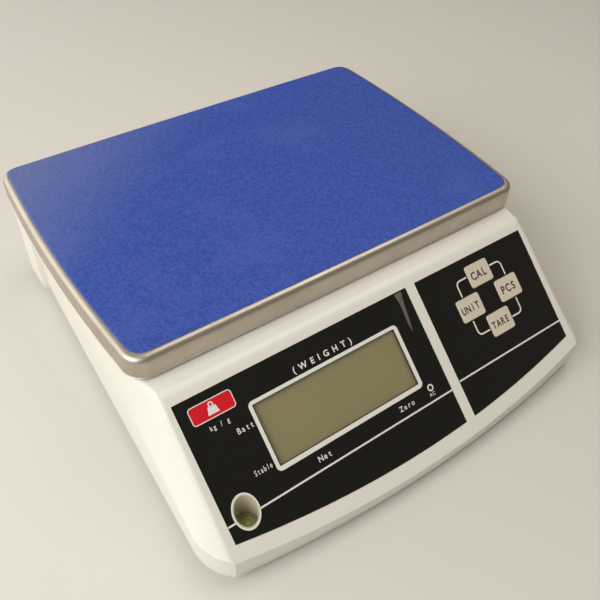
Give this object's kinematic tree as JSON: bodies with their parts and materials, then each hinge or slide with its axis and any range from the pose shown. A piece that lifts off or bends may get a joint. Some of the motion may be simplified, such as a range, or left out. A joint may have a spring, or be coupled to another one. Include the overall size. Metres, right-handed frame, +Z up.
{
  "type": "table-top digital weighing scale",
  "caption": "Table-top digital gram scale with a pressed steel pan under a protective film, a sloping panel with display, keys and a bubble level, and levelling feet.",
  "frame": {"origin": "centre of the footprint on the table, at the underside of the feet", "axes": "+X to the user's right, +Y away from the user, +Z up"},
  "size_m": [0.3412, 0.35, 0.115],
  "materials": {
    "battery_case": "moulded ABS case",
    "black_abs": "moulded black plastic",
    "black_overlay": "printed polyester film",
    "black_overlay_keypad": "printed polyester film",
    "blue_film": "embossed protective film",
    "bolt_steel": "black oxide",
    "bumper_rubber": "moulded rubber",
    "cast_alloy": "die cast",
    "chip_black": "moulded epoxy",
    "circuit_board": "green solder mask",
    "clear_vial": "clear acrylic",
    "clear_window": "clear polyester window",
    "foot_rubber": "moulded rubber",
    "foot_thread": "zinc plated",
    "key_grey": "satin silicone-coated keys",
    "lamp_lens": "diffused lens",
    "lcd_olive": "reflective liquid crystal glass",
    "lead_grey": "sheathed lead",
    "lead_red": "sheathed lead",
    "level_beige": "moulded plastic",
    "level_green": "tinted spirit",
    "light_guide": "light guide",
    "milled_alloy": "milled",
    "rocker_black": "moulded",
    "sealant_white": "silicone sealant",
    "stainless": "pressed stainless steel",
    "switch_black": "moulded plastic and steel",
    "tab_brass": "plain",
    "white_abs": "fine satin moulded ABS",
    "white_abs_base": "satin moulded ABS",
    "zinc_plate": "zinc plated sheet",
    "zinc_steel": "zinc plated"
  },
  "bodies": {
    "base": {"battery": "battery_case", "battery_door": "white_abs_base", "battery_door_screws": "zinc_steel", "battery_lead": "lead_red", "battery_strap": "zinc_plate", "battery_tabs": "tab_brass", "board_screws": "zinc_steel", "cell_base_bolts": "bolt_steel", "cell_base_plate": "zinc_plate", "cell_gauge_cover": "sealant_white", "cell_riser": "cast_alloy", "dc_jack": "black_abs", "display_board": "circuit_board", "display_chips": "chip_black", "display_overlay": "black_overlay", "display_window": "clear_window", "foot_inserts": "tab_brass", "housing_screws": "zinc_steel", "key_switches": "switch_black", "keypad_board": "circuit_board", "keypad_overlay": "black_overlay_keypad", "lcd_backlight": "light_guide", "lcd_frame": "black_abs", "lcd_glass": "lcd_olive", "level_fluid": "level_green", "level_holder": "level_beige", "level_vial": "clear_vial", "load_cell": "milled_alloy", "load_cell_lead": "lead_grey", "lower_housing": "white_abs_base", "main_board": "circuit_board", "main_board_parts": "chip_black", "main_board_screws": "zinc_steel", "overload_stop": "bolt_steel", "power_lamp": "lamp_lens", "power_switch": "black_abs", "upper_housing": "white_abs"},
    "spider": {"pan_spider": "cast_alloy", "spider_spacer": "milled_alloy", "spider_bolts": "bolt_steel", "pan_bumpers": "bumper_rubber"},
    "pan": {"weighing_pan": "stainless", "pan_film": "blue_film"},
    "rocker": {"power_rocker": "rocker_black"},
    "calibrate_key": {"calibrate_key": "key_grey"},
    "count_key": {"count_key": "key_grey"},
    "tare_key": {"tare_key": "key_grey"},
    "unit_key": {"unit_key": "key_grey"},
    "foot_pad_front_left": {"foot_pad_front_left": "foot_rubber"},
    "foot_screw_front_left": {"foot_screw_front_left": "foot_thread"},
    "foot_pad_front_right": {"foot_pad_front_right": "foot_rubber"},
    "foot_screw_front_right": {"foot_screw_front_right": "foot_thread"},
    "foot_pad_rear_left": {"foot_pad_rear_left": "foot_rubber"},
    "foot_screw_rear_left": {"foot_screw_rear_left": "foot_thread"},
    "foot_pad_rear_right": {"foot_pad_rear_right": "foot_rubber"},
    "foot_screw_rear_right": {"foot_screw_rear_right": "foot_thread"}
  },
  "joints": [
    {"name": "pan_deflection", "type": "slide", "parent": "base", "child": "spider", "axis": [0, 0, -1], "range_m": [0, 0.0005], "stiffness_N_per_m": 600000, "deforming": ["load_cell"]},
    {"name": "pan_lift_off", "type": "slide", "parent": "spider", "child": "pan", "axis": [0, 0, 1], "range_m": [0, 0.04]},
    {"name": "power_rocker_tilt", "type": "hinge", "parent": "base", "child": "rocker", "pos_m": [0.115, 0.1705, 0.04], "axis": [0, 0, 1], "range_deg": [-16, 0]},
    {"name": "calibrate_key_press", "type": "slide", "parent": "base", "child": "calibrate_key", "axis": [0, 0.6236, -0.7817], "range_m": [0, 0.0004], "stiffness_N_per_m": 2500, "springref_m": -0.0002},
    {"name": "count_key_press", "type": "slide", "parent": "base", "child": "count_key", "axis": [0, 0.6236, -0.7817], "range_m": [0, 0.0004], "stiffness_N_per_m": 2500, "springref_m": -0.0002},
    {"name": "tare_key_press", "type": "slide", "parent": "base", "child": "tare_key", "axis": [0, 0.6236, -0.7817], "range_m": [0, 0.0004], "stiffness_N_per_m": 2500, "springref_m": -0.0002},
    {"name": "unit_key_press", "type": "slide", "parent": "base", "child": "unit_key", "axis": [0, 0.6236, -0.7817], "range_m": [0, 0.0004], "stiffness_N_per_m": 2500, "springref_m": -0.0002},
    {"name": "foot_lift_front_left", "type": "slide", "parent": "base", "child": "foot_pad_front_left", "axis": [0, 0, -1], "range_m": [0, 0.006]},
    {"name": "foot_turn_front_left", "type": "hinge", "parent": "foot_pad_front_left", "child": "foot_screw_front_left", "pos_m": [-0.138, -0.112, 0], "axis": [0, 0, -1], "range_deg": [0, 2162]},
    {"name": "foot_lift_front_right", "type": "slide", "parent": "base", "child": "foot_pad_front_right", "axis": [0, 0, -1], "range_m": [0, 0.006]},
    {"name": "foot_turn_front_right", "type": "hinge", "parent": "foot_pad_front_right", "child": "foot_screw_front_right", "pos_m": [0.138, -0.112, 0], "axis": [0, 0, -1], "range_deg": [0, 2162]},
    {"name": "foot_lift_rear_left", "type": "slide", "parent": "base", "child": "foot_pad_rear_left", "axis": [0, 0, -1], "range_m": [0, 0.006]},
    {"name": "foot_turn_rear_left", "type": "hinge", "parent": "foot_pad_rear_left", "child": "foot_screw_rear_left", "pos_m": [-0.138, 0.148, 0], "axis": [0, 0, -1], "range_deg": [0, 2162]},
    {"name": "foot_lift_rear_right", "type": "slide", "parent": "base", "child": "foot_pad_rear_right", "axis": [0, 0, -1], "range_m": [0, 0.006]},
    {"name": "foot_turn_rear_right", "type": "hinge", "parent": "foot_pad_rear_right", "child": "foot_screw_rear_right", "pos_m": [0.138, 0.148, 0], "axis": [0, 0, -1], "range_deg": [0, 2162]}
  ],
  "couplings": [
    {"joint": "foot_turn_front_left", "follows": "foot_lift_front_left", "rad_per_m": 6283.2},
    {"joint": "foot_turn_front_right", "follows": "foot_lift_front_right", "rad_per_m": 6283.2},
    {"joint": "foot_turn_rear_left", "follows": "foot_lift_rear_left", "rad_per_m": 6283.2},
    {"joint": "foot_turn_rear_right", "follows": "foot_lift_rear_right", "rad_per_m": 6283.2}
  ]
}
